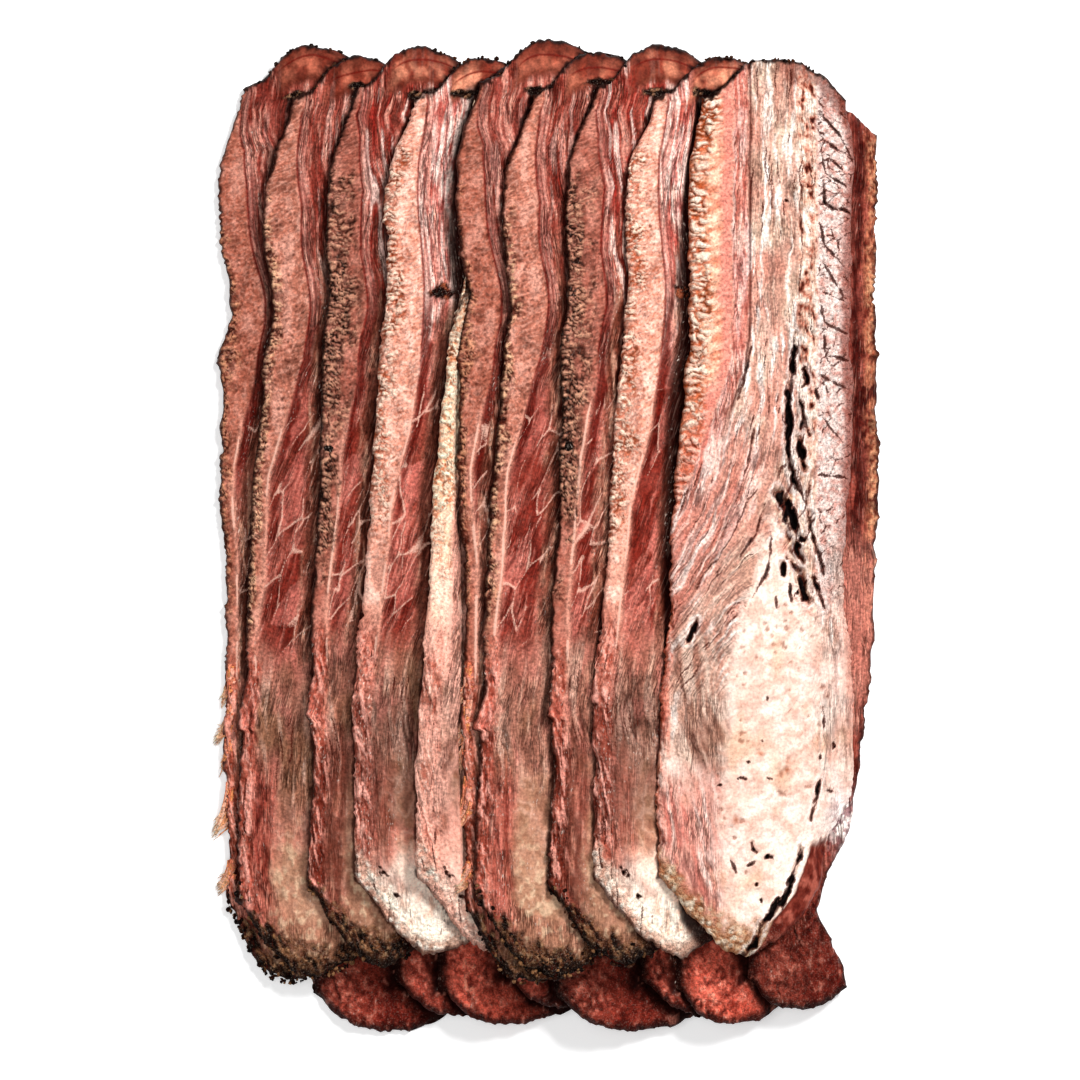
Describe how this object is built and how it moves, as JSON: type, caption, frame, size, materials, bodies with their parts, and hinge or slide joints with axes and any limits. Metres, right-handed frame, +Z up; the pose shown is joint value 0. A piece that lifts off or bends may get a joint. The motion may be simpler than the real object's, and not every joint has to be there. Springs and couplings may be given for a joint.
{
  "type": "sliced pastrami",
  "caption": "Long pastrami slices fanned in overlapping rows, with crumbly fat along their left edges and dark spiced crust at their ends, lying flat.",
  "frame": {"origin": "on the surface it lies on, at the middle of the pile's footprint", "axes": "+Z up, +Y along the slices towards their domed ends, +X across them in the order in which they overlap"},
  "size_m": [0.1778, 0.2644, 0.0324],
  "materials": {
    "lower_slices": "moist cured beef, dark red and granular at the ends",
    "upper_slices": "moist cured beef, pink-brown fibres, cream crumbly fat along the left edge, dark spiced crust"
  },
  "bodies": {
    "root": {"lower_slice_01": "lower_slices", "lower_slice_02": "lower_slices", "lower_slice_03": "lower_slices", "lower_slice_04": "lower_slices", "lower_slice_05": "lower_slices", "lower_slice_06": "lower_slices", "lower_slice_07": "lower_slices", "lower_slice_08": "lower_slices", "upper_slice_01": "upper_slices", "upper_slice_02": "upper_slices", "upper_slice_03": "upper_slices", "upper_slice_04": "upper_slices", "upper_slice_05": "upper_slices", "upper_slice_06": "upper_slices", "upper_slice_07": "upper_slices", "upper_slice_08": "upper_slices", "upper_slice_09": "upper_slices", "upper_slice_10": "upper_slices"}
  },
  "joints": []
}
